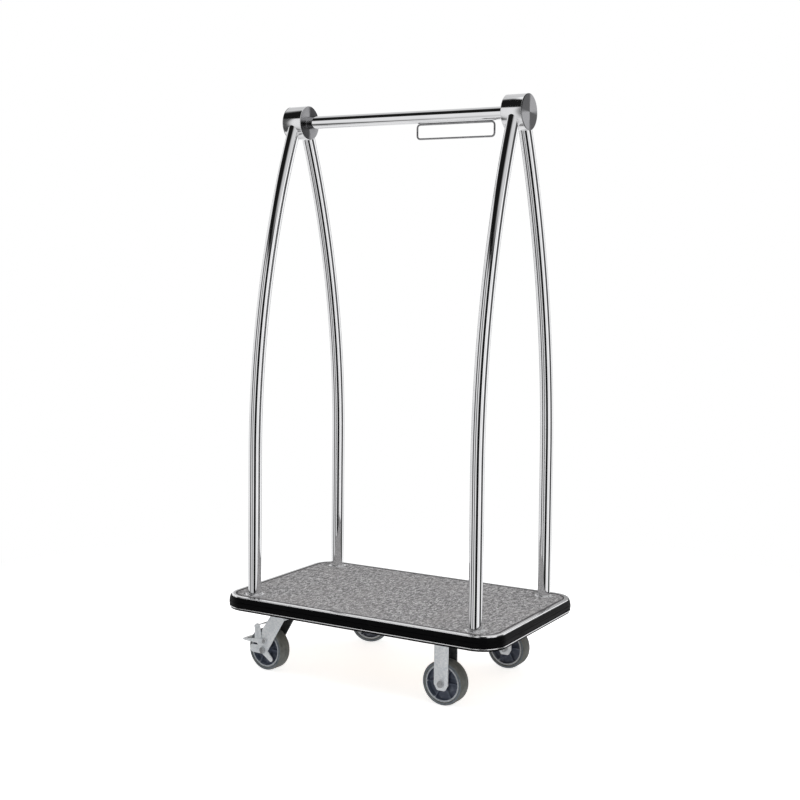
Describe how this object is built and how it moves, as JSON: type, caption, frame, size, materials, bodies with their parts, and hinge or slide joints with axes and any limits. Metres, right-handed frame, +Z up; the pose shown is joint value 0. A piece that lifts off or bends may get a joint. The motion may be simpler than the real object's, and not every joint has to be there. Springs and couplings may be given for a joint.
{
  "type": "hotel luggage cart",
  "caption": "Luggage cart with a carpeted platform on rigid and braked swivel casters, bowed tube arches, end drums, a garment bar and a rod loop under it.",
  "frame": {"origin": "on the floor under the middle of the platform, which is also the bottom centre of the bounding box", "axes": "+X along the platform towards the rigid casters, +Y to the back, +Z up"},
  "size_m": [1, 0.62, 1.85],
  "materials": {
    "plywood": "raw birch plywood",
    "carpet": "grey heathered loop pile",
    "edging_steel": "bright stainless edging",
    "bumper_rubber": "semi-gloss black rubber",
    "rail_paint": "black powder coat",
    "tube_steel": "polished stainless tube",
    "cap_steel": "spun-brushed stainless",
    "drum_steel": "polished stainless",
    "screw_steel": "bright screws",
    "tread": "grey non-marking rubber",
    "hub_plastic": "blue-grey moulded plastic",
    "bearing_plastic": "natural plastic bearing",
    "zinc_steel": "bright zinc plate",
    "pedal_steel": "bright zinc plate",
    "fastener_steel": "zinc-plated fasteners"
  },
  "bodies": {
    "cart_frame": {"bumper": "bumper_rubber", "bumper_strip": "edging_steel", "carpet": "carpet", "caster_bolts": "fastener_steel", "caster_nuts": "fastener_steel", "cross_rail_left": "rail_paint", "cross_rail_right": "rail_paint", "deck_board": "plywood", "drum_cap_left": "cap_steel", "drum_cap_right": "cap_steel", "drum_shell_left": "drum_steel", "drum_shell_right": "drum_steel", "edge_trim": "edging_steel", "foot_flange_back_left": "drum_steel", "foot_flange_back_right": "drum_steel", "foot_flange_front_left": "drum_steel", "foot_flange_front_right": "drum_steel", "foot_screws": "screw_steel", "hanger_loop": "tube_steel", "kingpin_back": "fastener_steel", "kingpin_front": "fastener_steel", "leg_back_left": "tube_steel", "leg_back_right": "tube_steel", "leg_front_left": "tube_steel", "leg_front_right": "tube_steel", "rigid_axle_back": "fastener_steel", "rigid_axle_front": "fastener_steel", "rigid_axle_nuts": "fastener_steel", "rigid_fork_back": "zinc_steel", "rigid_fork_front": "zinc_steel", "side_rail_back": "rail_paint", "side_rail_front": "rail_paint", "swivel_plate_back": "zinc_steel", "swivel_plate_front": "zinc_steel", "top_bar": "tube_steel"},
    "wheel_front_right": {"tyre_front_right": "tread", "wheel_hub_front_right": "hub_plastic", "wheel_bearing_front_right": "bearing_plastic"},
    "swivel_front": {"swivel_fork_front": "zinc_steel", "swivel_axle_front": "fastener_steel", "swivel_axle_nut_front": "fastener_steel", "brake_plates_front": "zinc_steel", "brake_pins_front": "fastener_steel"},
    "wheel_front_left": {"tyre_front_left": "tread", "wheel_hub_front_left": "hub_plastic", "wheel_bearing_front_left": "bearing_plastic"},
    "brake_front": {"brake_pedal_front": "pedal_steel"},
    "wheel_back_right": {"tyre_back_right": "tread", "wheel_hub_back_right": "hub_plastic", "wheel_bearing_back_right": "bearing_plastic"},
    "swivel_back": {"swivel_fork_back": "zinc_steel", "swivel_axle_back": "fastener_steel", "swivel_axle_nut_back": "fastener_steel", "brake_plates_back": "zinc_steel", "brake_pins_back": "fastener_steel"},
    "wheel_back_left": {"tyre_back_left": "tread", "wheel_hub_back_left": "hub_plastic", "wheel_bearing_back_left": "bearing_plastic"},
    "brake_back": {"brake_pedal_back": "pedal_steel"}
  },
  "joints": [
    {"name": "wheel_front_right_spin", "type": "hinge", "parent": "cart_frame", "child": "wheel_front_right", "pos_m": [0.292, -0.218, 0.068], "axis": [0, 1, 0], "continuous": true},
    {"name": "swivel_front_turn", "type": "hinge", "parent": "cart_frame", "child": "swivel_front", "pos_m": [-0.309, -0.218, 0.18], "axis": [0, 0, 1], "continuous": true},
    {"name": "wheel_front_left_spin", "type": "hinge", "parent": "swivel_front", "child": "wheel_front_left", "pos_m": [-0.36678, -0.21294, 0.068], "axis": [0.0872, 0.9962, 0], "continuous": true},
    {"name": "brake_front_press", "type": "hinge", "parent": "swivel_front", "child": "brake_front", "pos_m": [-0.3608, -0.21347, 0.098], "axis": [-0.0872, -0.9962, 0], "range_deg": [0, 16]},
    {"name": "wheel_back_right_spin", "type": "hinge", "parent": "cart_frame", "child": "wheel_back_right", "pos_m": [0.292, 0.218, 0.068], "axis": [0, 1, 0], "continuous": true},
    {"name": "swivel_back_turn", "type": "hinge", "parent": "cart_frame", "child": "swivel_back", "pos_m": [-0.309, 0.218, 0.18], "axis": [0, 0, 1], "continuous": true},
    {"name": "wheel_back_left_spin", "type": "hinge", "parent": "swivel_back", "child": "wheel_back_left", "pos_m": [-0.25522, 0.23973, 0.068], "axis": [0.3746, -0.9272, 0], "continuous": true},
    {"name": "brake_back_press", "type": "hinge", "parent": "swivel_back", "child": "brake_back", "pos_m": [-0.26079, 0.23748, 0.098], "axis": [-0.3746, 0.9272, 0], "range_deg": [0, 16]}
  ]
}
